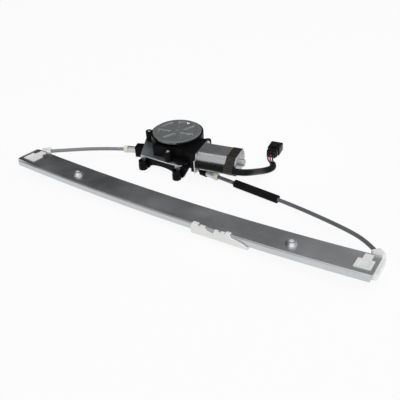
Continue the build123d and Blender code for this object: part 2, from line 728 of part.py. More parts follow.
def wheel_outline(twist):
    """Points of the toothed outline, one gap facing the worm before the twist."""
    points = []
    for tooth in range(WHEEL_TEETH):
        middle = WORM_SIDE + twist + (tooth + 0.5) * 2 * pi / WHEEL_TEETH
        for radius, side in ((-ROOT, -1), (TIP, -1), (TIP, 1), (-ROOT, 1)):
            half = TOOTH_WIDTH / 2 - radius * FLANK
            angle = middle + side * half / WHEEL_PITCH_R
            points.append(polar(WHEEL_PITCH_R + radius, degrees(angle)))
    return points


with BuildPart() as worm_wheel:
    for height, twist in ((WHEEL_BOTTOM, -LEAD_TWIST), (WHEEL_TOP, LEAD_TWIST)):
        with BuildSketch(Plane.XY.offset(height)):
            with BuildLine():
                Polyline(*wheel_outline(twist), close=True)
            make_face()
    loft(ruled=True)
    with BuildSketch(Plane.XY.offset(WHEEL_BOTTOM)):
        Circle(WHEEL_BORE / 2)
    extrude(amount=WHEEL_FACE, mode=Mode.SUBTRACT)
keep(worm_wheel.part, "worm_wheel")

# Armature shaft with the worm thread
WORM_ROOT_R = WORM_PITCH_R - ROOT + SEAT_GAP
SHAFT_FRONT = -WORM_LENGTH / 2 - BEARING_LENGTH
SHAFT_BACK = FLANGE_AT + FLANGE_SHEET + CAN_LENGTH + BEARING_LENGTH - 2 * CAN_WALL
HALF_TURNS = int((WORM_LENGTH - PITCH) / PITCH / 2)
THREAD_START = motor_section(-HALF_TURNS * PITCH)
thread_path = Helix(
    PITCH,
    2 * HALF_TURNS * PITCH,
    WORM_PITCH_R,
    center=THREAD_START.origin,
    direction=THREAD_START.z_dir,
    mode=Mode.PRIVATE,
)
HALF_TIP = TOOTH_WIDTH / 2 - TIP * FLANK
HALF_ROOT = TOOTH_WIDTH / 2 + ROOT * FLANK
with BuildPart() as armature_shaft:
    with BuildSketch(motor_section(SHAFT_FRONT)):
        Circle(ARMATURE_SHAFT_R)
    extrude(amount=SHAFT_BACK - SHAFT_FRONT)
    with BuildSketch(motor_section(-WORM_LENGTH / 2)):
        Circle(WORM_ROOT_R)
    extrude(amount=WORM_LENGTH)
    with BuildSketch(inside(MOTOR, (-HALF_TURNS * PITCH, 0, 0))):
        with BuildLine():
            Polyline(
                (-HALF_ROOT, WORM_PITCH_R - ROOT),
                (-HALF_TIP, WORM_PITCH_R + TIP),
                (HALF_TIP, WORM_PITCH_R + TIP),
                (HALF_ROOT, WORM_PITCH_R - ROOT),
                close=True,
            )
        make_face()
    sweep(path=thread_path, is_frenet=True)
keep(armature_shaft.part, "armature_shaft")

# Gear housing: round case, worm tunnel, flared motor seat, screw ears, part collar round the cover
GEAR_CAVITY_R = WHEEL_PITCH_R + TIP + GEAR_SPACE
TUNNEL_R = WORM_PITCH_R + TIP + WORM_SPACE
TUNNEL_LOW = PLATE_TOP - MOTOR_HEIGHT
TUNNEL_HIGH = GEAR_TOP - MOTOR_HEIGHT
with BuildPart() as gear_housing:
    with BuildSketch(Plane.XY.offset(PLATE_TOP)):
        Circle(CASE_R)
    extrude(amount=GEAR_TOP - PLATE_TOP)
    with BuildSketch(Plane.XY.offset(PLATE_TOP)):
        with Locations(*SCREW_POINTS):
            Circle(EAR_R)
        for angle in SCREW_ANGLES:
            with Locations(polar(SCREW_CIRCLE - EAR_R, angle)):
                Rectangle(2 * EAR_R, 2 * EAR_R, rotation=angle)
    extrude(amount=EAR_TOP - PLATE_TOP)
    with BuildSketch(Plane.XY.offset(GEAR_TOP)):
        Circle(CASE_R)
        Circle(COVER_R + SEAT_GAP, mode=Mode.SUBTRACT)
        with BuildLine():
            Polyline(
                (0, 0),
                polar(2 * CASE_R, COLLAR_FROM),
                polar(3 * CASE_R, (COLLAR_FROM + COLLAR_TO) / 2),
                polar(2 * CASE_R, COLLAR_TO),
                close=True,
            )
        make_face(mode=Mode.SUBTRACT)
    extrude(amount=COLLAR_RISE)
    with BuildSketch(motor_section(SHAFT_FRONT - CASE_WALL)):
        with Locations((0, (TUNNEL_HIGH + TUNNEL_LOW) / 2)):
            Rectangle(2 * TUNNEL_HALF, TUNNEL_HIGH - TUNNEL_LOW)
    extrude(amount=FLARE_AT - SHAFT_FRONT + CASE_WALL)
    with BuildSketch(motor_section(FLARE_AT)):
        with Locations((0, (TUNNEL_HIGH + TUNNEL_LOW) / 2)):
            Rectangle(2 * TUNNEL_HALF, TUNNEL_HIGH - TUNNEL_LOW)
    with BuildSketch(motor_section(FLANGE_AT)):
        with Locations((0, (CAN_FLAT + TUNNEL_LOW) / 2)):
            Rectangle(FLANGE_WIDTH, CAN_FLAT - TUNNEL_LOW)
    loft(ruled=True)
    with BuildSketch(motor_section(FLANGE_AT)):
        Rectangle(FLANGE_WIDTH, 2 * CAN_FLAT)
    extrude(amount=-SEAT_LENGTH)
    with BuildSketch(Plane.XY.offset(GEAR_TOP)):
        Circle(COVER_R + SEAT_GAP)
    extrude(amount=GEAR_TOP, mode=Mode.SUBTRACT)
    with BuildSketch(Plane.XY.offset(PLATE_TOP + GEAR_FLOOR)):
        Circle(GEAR_CAVITY_R)
    extrude(amount=GEAR_TOP, mode=Mode.SUBTRACT)
    with BuildSketch(Plane.XY.offset(PLATE_TOP)):
        Circle(SHAFT_R + RUN_FIT)
        with Locations(*SCREW_POINTS):
            Circle(SCREW_D / 2)
    extrude(amount=GEAR_TOP, mode=Mode.SUBTRACT)
    with BuildSketch(motor_section(SHAFT_FRONT - WORM_SPACE)):
        Circle(TUNNEL_R)
    extrude(amount=FLANGE_AT - SHAFT_FRONT + WORM_SPACE, mode=Mode.SUBTRACT)
    with BuildSketch(motor_section(FLANGE_AT)):
        with Locations(*FLANGE_SCREWS):
            Circle(FLANGE_SCREW_D / 2)
    extrude(amount=-SEAT_LENGTH, mode=Mode.SUBTRACT)
keep(gear_housing.part, "gear_housing")

# Housing screws
with BuildPart() as housing_screws:
    with BuildSketch(Plane.XY.offset(PLATE_BOTTOM)):
        with Locations(*SCREW_POINTS):
            Circle(SCREW_D / 2)
    extrude(amount=EAR_TOP - PLATE_BOTTOM)
    with BuildSketch(Plane.XY.offset(EAR_TOP)):
        with Locations(*SCREW_POINTS):
            Circle(SCREW_HEAD / 2)
    extrude(amount=SCREW_HEAD_HEIGHT)
    with BuildSketch(Plane.XY.offset(EAR_TOP + SCREW_HEAD_HEIGHT)):
        with Locations(*SCREW_POINTS):
            RegularPolygon(SCREW_D / 2, 6)
    extrude(amount=-SCREW_HEAD_HEIGHT / 2, mode=Mode.SUBTRACT)
keep(housing_screws.part, "housing_screws")


# Gear cover: pressed disc with six recessed panels between spokes, turned-down skirt, hub dimple
def panel_outline():
    """One pie panel between two spokes, its sides parallel to them."""
    gap = 360 / PANELS
    with BuildSketch() as panel:
        Circle(PANEL_OUT)
        Circle(PANEL_IN, mode=Mode.SUBTRACT)
        with BuildLine():
            Polyline((0, 0), polar(2 * COVER_R, 0), polar(2 * COVER_R, gap), close=True)
        make_face(mode=Mode.INTERSECT)
        with Locations((COVER_R, 0)):
            Rectangle(2 * COVER_R, SPOKE_WIDTH, mode=Mode.SUBTRACT)
        with Locations(polar(COVER_R, gap)):
            Rectangle(2 * COVER_R, SPOKE_WIDTH, rotation=gap, mode=Mode.SUBTRACT)
        fillet(panel.vertices(), PANEL_CORNER)
    return panel.sketch


with BuildPart() as gear_cover:
    with BuildSketch(Plane.XY.offset(GEAR_TOP)):
        Circle(COVER_R)
    extrude(amount=COVER_TOP - GEAR_TOP)
    fillet(gear_cover.edges().sort_by(Axis.Z)[-1], COVER_SHEET)
    with BuildSketch(Plane.XY.offset(GEAR_TOP)):
        Circle(COVER_R - COVER_SHEET)
    extrude(amount=COVER_TOP - COVER_DISC - GEAR_TOP, mode=Mode.SUBTRACT)
    with BuildSketch(Plane.XY.offset(COVER_TOP)):
        with PolarLocations(0, PANELS, start_angle=SPOKE_ANGLE):
            add(panel_outline())
    extrude(amount=-COVER_PRESS, mode=Mode.SUBTRACT)
    with BuildSketch(Plane.XY.offset(COVER_TOP)):
        Circle(HUB_DIMPLE / 2)
    extrude(amount=-COVER_SHEET / 2, mode=Mode.SUBTRACT)
keep(gear_cover.part, "gear_cover")


# Motor can: flat top and bottom, round sides, mounting flange, rear bearing dome
def can_outline(inset):
    """Cross-section of the can, drawn in by an inset."""
    with BuildSketch() as outline:
        Circle(CAN_R - inset)
        Rectangle(3 * CAN_R, 2 * (CAN_FLAT - inset), mode=Mode.INTERSECT)
        fillet(outline.vertices(), CAN_EDGE - inset)
    return outline.sketch


CAN_START = FLANGE_AT + FLANGE_SHEET
CAN_END = CAN_START + CAN_LENGTH
CORE_AT = CAN_START + BRUSH_ROOM
CORE_LENGTH = CAN_LENGTH - BRUSH_ROOM - END_ROOM
TAPE_AT = CAN_END - TAPE_INSET
with BuildPart() as motor_can:
    with BuildSketch(motor_section(CAN_START)):
        add(can_outline(0))
    extrude(amount=CAN_LENGTH)
    fillet(motor_can.faces().sort_by(Axis(MOTOR.origin, MOTOR.x_dir))[-1].edges(), CAN_ROUND)
    with BuildSketch(motor_section(CAN_END)):
        Circle(BEARING_R + CAN_WALL)
    extrude(amount=BEARING_LENGTH)
    fillet(motor_can.faces().sort_by(Axis(MOTOR.origin, MOTOR.x_dir))[-1].edges(), CAN_WALL)
    with BuildSketch(motor_section(FLANGE_AT)):
        RectangleRounded(FLANGE_WIDTH, 2 * CAN_FLAT, FLANGE_CORNER)
        with Locations(*FLANGE_SCREWS):
            Circle(FLANGE_SCREW_D / 2, mode=Mode.SUBTRACT)
    extrude(amount=FLANGE_SHEET)
    with BuildSketch(motor_section(FLANGE_AT)):
        add(can_outline(CAN_WALL))
    extrude(amount=FLANGE_SHEET + CAN_LENGTH - CAN_WALL, mode=Mode.SUBTRACT)
    with BuildSketch(motor_section(CAN_END - CAN_WALL)):
        Circle(BEARING_R)
    extrude(amount=BEARING_LENGTH, mode=Mode.SUBTRACT)
keep(motor_can.part, "motor_can")

# Bearings on the armature shaft
def bearing(along, radius):
    """Plain bush with a running bore."""
    with BuildPart() as bush:
        with BuildSketch(motor_section(along)):
            Circle(radius)
            Circle(ARMATURE_SHAFT_R + RUN_FIT, mode=Mode.SUBTRACT)
        extrude(amount=BEARING_LENGTH)
    return bush.part


keep(bearing(CAN_END - CAN_WALL, BEARING_R), "rear_bearing")
keep(bearing(WORM_LENGTH / 2 + BEARING_LENGTH, TUNNEL_R), "front_bearing")

# Flange screws, through the flange into the gear housing
with BuildPart() as flange_screws:
    with BuildSketch(motor_section(FLANGE_AT - SEAT_LENGTH)):
        with Locations(*FLANGE_SCREWS):
            Circle(FLANGE_SCREW_D / 2)
    extrude(amount=SEAT_LENGTH + FLANGE_SHEET)
    with BuildSketch(motor_section(CAN_START)):
        with Locations(*FLANGE_SCREWS):
            Circle(FLANGE_HEAD / 2)
    extrude(amount=FLANGE_SHEET)
keep(flange_screws.part, "flange_screws")

# Permanent magnets against the can's round sides
MAGNET_OUT = CAN_R - CAN_WALL
with BuildPart() as magnets:
    with BuildSketch(motor_section(CORE_AT)):
        Circle(MAGNET_OUT)
        Circle(MAGNET_OUT - MAGNET_T, mode=Mode.SUBTRACT)
        Rectangle(3 * CAN_R, MAGNET_HEIGHT, mode=Mode.INTERSECT)
    extrude(amount=CORE_LENGTH)
keep(magnets.part, "magnets")

# Armature core with slots, windings and commutator
with BuildPart() as armature_core:
    with BuildSketch(motor_section(CORE_AT)):
        Circle(CORE_R)
        with PolarLocations(CORE_R, SLOTS):
            Rectangle(2 * (CORE_R - SLOT_ROOT_R), SLOT_WIDTH, mode=Mode.SUBTRACT)
        Circle(ARMATURE_SHAFT_R, mode=Mode.SUBTRACT)
    extrude(amount=CORE_LENGTH)
keep(armature_core.part, "armature_core")

with BuildPart() as windings:
    for along in (CORE_AT - WINDING, CORE_AT + CORE_LENGTH):
        with BuildSketch(motor_section(along)):
            Circle(CORE_R - AIR_GAP)
            Circle(ARMATURE_SHAFT_R, mode=Mode.SUBTRACT)
        extrude(amount=WINDING)
keep(windings.part, "windings")

COMMUTATOR_AT = CORE_AT - WINDING - COMMUTATOR_LENGTH
with BuildPart() as commutator:
    with BuildSketch(motor_section(COMMUTATOR_AT)):
        Circle(COMMUTATOR_R)
        Circle(ARMATURE_SHAFT_R, mode=Mode.SUBTRACT)
    extrude(amount=COMMUTATOR_LENGTH)
keep(commutator.part, "commutator")

# Brush card inside the flange and the two brushes that stand on it
with BuildPart() as brush_card:
    with BuildSketch(motor_section(FLANGE_AT)):
        add(can_outline(CAN_WALL))
        Circle(COMMUTATOR_R + BRUSH_GAP, mode=Mode.SUBTRACT)
    extrude(amount=CARD_SHEET)
keep(brush_card.part, "brush_card")

with BuildPart() as brushes:
    with BuildSketch(motor_section(FLANGE_AT + CARD_SHEET)):
        Rectangle(2 * (MAGNET_OUT - BRUSH_GAP), BRUSH)
        Circle(COMMUTATOR_R + SLIDE_FIT, mode=Mode.SUBTRACT)
    extrude(amount=BRUSH)
keep(brushes.part, "brushes")


# Ferrules, caps and conduits
def ferrule_parts(port, heading):
    """Spring housing tube, its cap and the point where the conduit leaves the cap."""
    with BuildPart() as tube:
        with BuildSketch(heading_plane(along_heading(port, heading, -FERRULE_SEAT), heading)):
            Circle(FERRULE_D / 2)
            Circle(CONDUIT_D / 2, mode=Mode.SUBTRACT)
        extrude(amount=FERRULE_SEAT + FERRULE_LENGTH)
    with BuildPart() as cap:
        with BuildSketch(heading_plane(along_heading(port, heading, FERRULE_LENGTH), heading)):
            Circle(CAP_D / 2)
        extrude(amount=CAP_LENGTH)
        chamfer(cap.edges().sort_by_distance(port)[-1], CAP_LENGTH / 4)
        with BuildSketch(heading_plane(port, heading)):
            Circle(CONDUIT_D / 2)
        extrude(amount=2 * (FERRULE_LENGTH + CAP_LENGTH), mode=Mode.SUBTRACT)
    return tube.part, cap.part


def conduit(port, heading, route):
    """Bowden conduit from the ferrule's seat to its cable guide."""
    points = [
        along_heading(port, heading, -FERRULE_SEAT / 2),
        along_heading(port, heading, FERRULE_LENGTH + CAP_LENGTH + CONDUIT_D),
    ] + route
    path = tube_path(points, CONDUIT_SHARE)
    with BuildPart() as hose:
        with BuildSketch(start_plane(points)):
            Circle(CONDUIT_D / 2)
        sweep(path=path.wires()[0])
    return hose.part


upper_ferrule, upper_cap = ferrule_parts(UPPER_PORT, UPPER_HEADING)
lower_ferrule, lower_cap = ferrule_parts(LOWER_PORT, LOWER_HEADING)
keep(upper_ferrule, "upper_ferrule")
keep(lower_ferrule, "lower_ferrule")
keep(upper_cap, "upper_ferrule_cap")
keep(lower_cap, "lower_ferrule_cap")
keep(conduit(UPPER_PORT, UPPER_HEADING, UPPER_ROUTE), "upper_conduit")
keep(conduit(LOWER_PORT, LOWER_HEADING, LOWER_ROUTE), "lower_conduit")

# Foam sleeve on the straight run of the lower conduit
foam_run = Vector(LOWER_ROUTE[1]) - Vector(LOWER_ROUTE[0])
foam_start = Vector(LOWER_ROUTE[0]) + foam_run.normalized() * FOAM_AT
with BuildPart() as foam_sleeve:
    with BuildSketch(Plane(origin=foam_start, z_dir=foam_run)):
        Circle(FOAM_D / 2)
        Circle(CONDUIT_D / 2, mode=Mode.SUBTRACT)
    extrude(amount=FOAM_LENGTH)
keep(foam_sleeve.part, "foam_sleeve")

# Harness: sleeved lead beside the can, tape band round both
LEAD_ACROSS = -(CAN_R + LEAD_D / 2)
with BuildPart() as motor_lead:
    with BuildSketch(motor_section(CAN_START, LEAD_ACROSS)):
        Circle(LEAD_D / 2)
    extrude(amount=TAPE_AT + TAPE_WIDTH - CAN_START)
keep(motor_lead.part, "motor_lead")


def wrap_outline(thickness):
    """Outline drawn tight round the can and the lead together."""
    with BuildSketch() as outline:
        add(can_outline(-thickness))
        with Locations((LEAD_ACROSS, 0)):
            Circle(LEAD_D / 2 + thickness)
        make_hull()
    return outline.sketch


with BuildPart() as tape_band:
    with BuildSketch(motor_section(TAPE_AT)):
        add(wrap_outline(TAPE_T))
        add(wrap_outline(0), mode=Mode.SUBTRACT)
    extrude(amount=TAPE_WIDTH)
keep(tape_band.part, "tape_band")

# Free pigtail: sleeve from the tape down to the surface, three wires, connector
lead_end = MOTOR.from_local_coords((TAPE_AT + TAPE_WIDTH, LEAD_ACROSS, 0))
PIGTAIL_ROUTE = [tuple(lead_end), tuple(lead_end + MOTOR.x_dir * LEAD_OUT)] + PIGTAIL_POINTS
sleeve_radii = corner_radii(PIGTAIL_ROUTE, CORD_SHARE)
print("pigtail radii", [round(radius, 1) for radius in sleeve_radii])
print("pigtail route", [tuple(round(value, 2) for value in point) for point in PIGTAIL_ROUTE])
with BuildPart() as pigtail_sleeve:
    with BuildSketch(start_plane(PIGTAIL_ROUTE)):
        Circle(LEAD_D / 2)
    sweep(path=tube_path(PIGTAIL_ROUTE, CORD_SHARE).wires()[0])
keep(pigtail_sleeve.part, "pigtail_sleeve")

CONNECTOR = Plane(
    origin=CONNECTOR_PLACE,
    x_dir=(cos(radians(CONNECTOR_HEADING)), sin(radians(CONNECTOR_HEADING)), 0),
    z_dir=(0, 0, 1),
)
sleeve_end = Vector(PIGTAIL_ROUTE[-1])
with BuildPart() as pigtail_wires:
    for offset in (-1, 0, 1):
        wire_end = CONNECTOR.from_local_coords((0, offset * WIRE_SPREAD, CONNECTOR_HEIGHT / 2))
        wire_start = sleeve_end + CONNECTOR.y_dir * offset * WIRE_PITCH
        wire_run = wire_end - wire_start
        with BuildSketch(Plane(origin=wire_start, z_dir=wire_run).offset(-WIRE_BITE)):
            Circle(WIRE_D / 2)
        extrude(amount=wire_run.length + 2 * WIRE_BITE)
keep(pigtail_wires.part, "pigtail_wires")


def connector_section(along):
    """Plane across the connector at half its height."""
    return inside(CONNECTOR, (along, 0, CONNECTOR_HEIGHT / 2), (0, 1, 0), (1, 0, 0))


with BuildPart() as connector_housing:
    with BuildSketch(connector_section(0)):
        RectangleRounded(*CONNECTOR_NECK, CONNECTOR_CORNER)
    extrude(amount=CONNECTOR_LENGTH)
    with BuildSketch(connector_section(CONNECTOR_COLLAR)):
        RectangleRounded(CONNECTOR_WIDTH, CONNECTOR_HEIGHT, CONNECTOR_CORNER)
    extrude(amount=CONNECTOR_LENGTH - CONNECTOR_COLLAR)
    with BuildSketch(connector_section(CONNECTOR_LENGTH)):
        Rectangle(CONNECTOR_WIDTH - 2 * CONNECTOR_WALL, CONNECTOR_HEIGHT - 2 * CONNECTOR_WALL)
    extrude(amount=-CONNECTOR_LENGTH / 2, mode=Mode.SUBTRACT)
keep(connector_housing.part, "connector_housing")

with BuildPart() as connector_lock:
    with BuildSketch(inside(CONNECTOR, (CONNECTOR_COLLAR + LOCK_LENGTH / 2, 0, CONNECTOR_HEIGHT))):
        RectangleRounded(LOCK_LENGTH, LOCK_WIDTH, LOCK_CORNER)
    extrude(amount=LOCK_HEIGHT)
keep(connector_lock.part, "connector_lock")
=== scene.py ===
import bpy
import bmesh
import math
from mathutils import Matrix, Vector


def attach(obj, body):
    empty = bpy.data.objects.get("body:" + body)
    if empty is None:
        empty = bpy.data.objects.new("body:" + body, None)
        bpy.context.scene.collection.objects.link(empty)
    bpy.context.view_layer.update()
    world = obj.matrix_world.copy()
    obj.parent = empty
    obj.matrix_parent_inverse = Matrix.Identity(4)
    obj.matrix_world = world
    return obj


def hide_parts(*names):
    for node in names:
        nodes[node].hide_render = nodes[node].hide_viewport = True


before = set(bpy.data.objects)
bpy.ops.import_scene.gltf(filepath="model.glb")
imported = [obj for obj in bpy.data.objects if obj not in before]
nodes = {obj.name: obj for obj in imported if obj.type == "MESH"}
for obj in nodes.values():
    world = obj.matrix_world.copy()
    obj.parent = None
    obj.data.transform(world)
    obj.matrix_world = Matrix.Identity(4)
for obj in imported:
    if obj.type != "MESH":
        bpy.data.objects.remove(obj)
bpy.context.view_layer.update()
scene = bpy.context.scene
MM = 0.001

# Scales of the noise in the materials, per metre, and the relief's depth in millimetres
DRIFT_SCALE = 26
CLOUD_SCALE = 18
STREAK_SCALE = 60
SPANGLE_SCALE = 420
RELIEF_DEPTH = 0.2
RAMP_PLACES = (0.32, 0.68)
NOISE_MIDDLE = (0.3, 0.7)
BEVEL_SAMPLES = 6


# Material tools
def material(name, color, rough=0.5, metal=0.0, spec=0.5):
    """A principled material, its tree and its shader."""
    mat = bpy.data.materials.new(name)
    mat.use_nodes = True
    tree = mat.node_tree
    shader = tree.nodes["Principled BSDF"]
    shader.inputs["Base Color"].default_value = (*color, 1)
    shader.inputs["Roughness"].default_value = rough
    shader.inputs["Metallic"].default_value = metal
    shader.inputs["Specular IOR Level"].default_value = spec
    return mat, tree, shader


def coords(tree, stretch=(1, 1, 1)):
    """Object coordinates in metres, stretched per axis."""
    where = tree.nodes.new("ShaderNodeTexCoord")
    mapping = tree.nodes.new("ShaderNodeMapping")
    mapping.inputs["Scale"].default_value = stretch
    tree.links.new(where.outputs["Object"], mapping.inputs["Vector"])
    return mapping.outputs["Vector"]


def noise(tree, vector, scale, detail=4.0):
    """Noise value over a vector."""
    node = tree.nodes.new("ShaderNodeTexNoise")
    node.inputs["Scale"].default_value = scale
    node.inputs["Detail"].default_value = detail
    tree.links.new(vector, node.inputs["Vector"])
    return node.outputs["Fac"]


def wave(tree, vector, direction, scale, distortion):
    """Banded value over a vector."""
    node = tree.nodes.new("ShaderNodeTexWave")
    node.bands_direction = direction
    node.inputs["Scale"].default_value = scale
    node.inputs["Distortion"].default_value = distortion
    tree.links.new(vector, node.inputs["Vector"])
    return node.outputs["Fac"]


def ramp(tree, value, low, high):
    """Colour ramp over the middle of a value's range."""
    node = tree.nodes.new("ShaderNodeValToRGB")
    for element, place, color in zip(node.color_ramp.elements, RAMP_PLACES, (low, high)):
        element.position = place
        element.color = (*color, 1)
    tree.links.new(value, node.inputs["Fac"])
    return node.outputs["Color"]


def span(tree, value, low, high, out_low, out_high):
    """Value mapped from one range to another."""
    node = tree.nodes.new("ShaderNodeMapRange")
    for key, number in (("From Min", low), ("From Max", high), ("To Min", out_low), ("To Max", out_high)):
        node.inputs[key].default_value = number
    tree.links.new(value, node.inputs["Value"])
    return node.outputs["Result"]


def rounded(tree, radius):
    """Normal that rounds sharp edges by a radius in millimetres."""
    node = tree.nodes.new("ShaderNodeBevel")
    node.samples = BEVEL_SAMPLES
    node.inputs["Radius"].default_value = radius * MM
    return node.outputs["Normal"]


def bump(tree, shader, value, strength, normal):
    """Relief over a normal, linked to the shader."""
    node = tree.nodes.new("ShaderNodeBump")
    node.inputs["Strength"].default_value = strength
    node.inputs["Distance"].default_value = RELIEF_DEPTH * MM
    tree.links.new(value, node.inputs["Height"])
    tree.links.new(normal, node.inputs["Normal"])
    tree.links.new(node.outputs["Normal"], shader.inputs["Normal"])


def shade(color, factor):
    """Colour made darker or lighter."""
    return tuple(min(1.0, channel * factor) for channel in color)


def plastic(name, color, rough=0.45, grain=900, depth=0.12, vary=0.12, spec=0.4, edge=0.4):
    """Moulded plastic: fine grain, slight drift of tone and gloss, rounded edges."""
    mat, tree, shader = material(name, color, rough, 0, spec)
    where = coords(tree)
    drift = noise(tree, where, DRIFT_SCALE, 3)
    tone = ramp(tree, drift, shade(color, 1 - vary), shade(color, 1 + vary))
    tree.links.new(tone, shader.inputs["Base Color"])
    tree.links.new(span(tree, drift, *NOISE_MIDDLE, rough - 0.06, rough + 0.08), shader.inputs["Roughness"])
    bump(tree, shader, noise(tree, where, grain, 2), depth, rounded(tree, edge))
    return mat


def sheet_metal(name, color, rough=0.4, metal=0.9, stretch=(1, 1, 1), vary=0.16, depth=0.05, edge=0.4):
    """Plated metal: cloudy zinc tone, drawn streaks and a fine spangle."""
    mat, tree, shader = material(name, color, rough, metal)
    drawn = coords(tree, stretch)
    cloud = noise(tree, coords(tree), CLOUD_SCALE)
    mixed = tree.nodes.new("ShaderNodeMath")
    mixed.operation = "MULTIPLY_ADD"
    mixed.inputs[1].default_value = 0.5
    tree.links.new(noise(tree, drawn, STREAK_SCALE, 5), mixed.inputs[0])
    tree.links.new(span(tree, cloud, 0, 1, 0, 0.5), mixed.inputs[2])
    tone = ramp(tree, mixed.outputs[0], shade(color, 1 - vary), shade(color, 1 + vary))
    tree.links.new(tone, shader.inputs["Base Color"])
    tree.links.new(span(tree, cloud, *NOISE_MIDDLE, rough - 0.08, rough + 0.1), shader.inputs["Roughness"])
    bump(tree, shader, noise(tree, drawn, SPANGLE_SCALE, 3), depth, rounded(tree, edge))
    return mat


def banded(name, color, direction, scale, rough, depth, metal=0.0, distortion=0.6):
    """Wound or stranded surface: bands across the piece's run, painted darker in their grooves and lighter
    on their crests.
    """
    mat, tree, shader = material(name, color, rough, metal, 0.35)
    where = coords(tree)
    band = wave(tree, where, direction, scale, distortion)
    # Tone follows the relief: painted shade in the grooves and painted highlight on the crests
    tree.links.new(ramp(tree, band, shade(color, 0.7), shade(color, 1.25)), shader.inputs["Base Color"])
    bump(tree, shader, band, depth, rounded(tree, 0.2))
    return mat


# Looks of the pieces
GALVANISED = sheet_metal("galvanised_sheet", (0.57, 0.585, 0.6), 0.29, 0.96, (0.12, 1, 1), 0.08, 0.02)
PLATE = sheet_metal("plate_zinc", (0.42, 0.455, 0.48), 0.34, 0.9, (1, 0.3, 1))
CAN = sheet_metal("can_zinc", (0.47, 0.48, 0.49), 0.28, 0.95, (0.15, 1, 1), 0.12)
STEEL = sheet_metal("bright_steel", (0.58, 0.58, 0.59), 0.26, 0.95, (1, 1, 0.2))
ROSE = sheet_metal("passivated_zinc", (0.72, 0.56, 0.54), 0.3, 0.9)
# Darker steel for the right housing screw: painted shade behind the motor's flange
SHADED_SCREW_STEEL = sheet_metal("steel_painted_in_shade", (0.16, 0.16, 0.165), 0.3, 0.9)
CABLE = banded("stranded_cable", (0.5, 0.5, 0.5), "DIAGONAL", 700, 0.35, 0.9, 0.9, 0.0)
WHITE = plastic("white_acetal", (0.88, 0.88, 0.87), 0.38, 500, 0.06, 0.03)
CREAM = plastic("cream_acetal", (0.8, 0.78, 0.68), 0.4, 500, 0.06, 0.04)
BLACK = plastic("black_nylon", (0.003, 0.003, 0.0033), 0.44, 1100, 0.16, 0.25, 0.08)
BLACK_SATIN = plastic("black_connector", (0.006, 0.006, 0.0065), 0.4, 1400, 0.12, 0.2, 0.2)
GREY = plastic("grey_cover", (0.128, 0.136, 0.14), 0.24, 1300, 0.03, 0.06, 0.6, 0.3)
lacquer = GREY.node_tree.nodes["Principled BSDF"]
lacquer.inputs["Coat Weight"].default_value = 0.8
lacquer.inputs["Coat Roughness"].default_value = 0.14
CONDUIT = plastic("grey_conduit", (0.13, 0.133, 0.15), 0.36, 700, 0.1, 0.1)
PALE_CONDUIT = plastic("pale_conduit", (0.24, 0.24, 0.255), 0.3, 700, 0.08, 0.1)
FOAM = plastic("black_foam", (0.008, 0.008, 0.0085), 0.85, 1500, 0.9, 0.3, 0.1)
SLEEVE = plastic("black_sleeve", (0.0045, 0.0045, 0.005), 0.33, 300, 0.05, 0.15, 0.12)
TAPE = banded("cloth_tape", (0.017, 0.0132, 0.011), "X", 160, 0.42, 0.25, 0.0, 1.4)
COPPER = sheet_metal("enamelled_copper", (0.62, 0.28, 0.14), 0.35, 0.9, (0.1, 1, 1))
BRONZE = sheet_metal("sintered_bronze", (0.5, 0.36, 0.2), 0.5, 0.85)
IRON = sheet_metal("core_iron", (0.3, 0.3, 0.31), 0.5, 0.8, (1, 0.1, 1))
MAGNET = plastic("ferrite", (0.06, 0.06, 0.065), 0.6, 900, 0.3, 0.2)
RUBBER = plastic("rubber", (0.025, 0.025, 0.025), 0.65, 900, 0.3, 0.2)
BLUE_WIRE = plastic("blue_wire", (0.02, 0.026, 0.15), 0.35, 600, 0.05, 0.1)
RED_WIRE = plastic("red_wire", (0.4, 0.052, 0.018), 0.35, 600, 0.05, 0.1)
NAVY_WIRE = plastic("navy_wire", (0.012, 0.014, 0.06), 0.35, 600, 0.05, 0.1)

LOOKS = {
    GALVANISED: ["guide_rail"],
    PLATE: ["mounting_plate", "glass_bracket"],
    CAN: ["motor_can"],
    STEEL: [
        "foot_bushes", "flange_screws", "housing_screws", "upper_ferrule", "lower_ferrule", "cable_nipples",
        "bracket_rivets", "drive_shaft", "armature_shaft",
    ],
    CABLE: ["lift_cable"],
    IRON: ["armature_core"],
    WHITE: ["upper_cable_guide", "lower_cable_guide", "slider", "cable_drum", "worm_wheel"],
    CREAM: ["upper_ferrule_cap", "lower_ferrule_cap"],
    BLACK: ["drum_housing", "gear_housing", "brush_card"],
    BLACK_SATIN: ["connector_housing", "connector_lock"],
    GREY: ["gear_cover"],
    CONDUIT: ["lower_conduit"],
    PALE_CONDUIT: ["upper_conduit"],
    FOAM: ["foam_sleeve"],
    SLEEVE: ["motor_lead", "pigtail_sleeve"],
    TAPE: ["tape_band"],
    COPPER: ["windings", "commutator"],
    BRONZE: ["rear_bearing", "front_bearing"],
    MAGNET: ["magnets", "brushes"],
    RUBBER: ["rubber_damper"],
    BLUE_WIRE: ["pigtail_wires"],
}
for look, names in LOOKS.items():
    for name in names:
        skin = nodes[name].data
        skin.materials.clear()
        skin.materials.append(look)
        for face in skin.polygons:
            face.material_index = 0


# Cords, conduits and foam
TUBE_ROUNDNESS = 6
TUBE_STEPS = 16


def smooth_lines(name, radius, runs, looks):
    """Round lines with control points in millimetres, one spline and look for each run."""
    curve = bpy.data.curves.new(name, "CURVE")
    curve.dimensions = "3D"
    curve.bevel_depth = radius * MM
    curve.bevel_resolution = TUBE_ROUNDNESS
    curve.resolution_u = TUBE_STEPS
    curve.use_fill_caps = True
    for index, (points, look) in enumerate(zip(runs, looks)):
        curve.materials.append(look)
        line = curve.splines.new("NURBS")
        line.points.add(len(points) - 1)
        for point, place in zip(line.points, points):
            point.co = (*(value * MM for value in place), 1)
        line.order_u = 3
        line.use_endpoint_u = True
        line.material_index = index
    obj = bpy.data.objects.new(name, curve)
    scene.collection.objects.link(obj)
    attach(obj, "frame")
    return obj


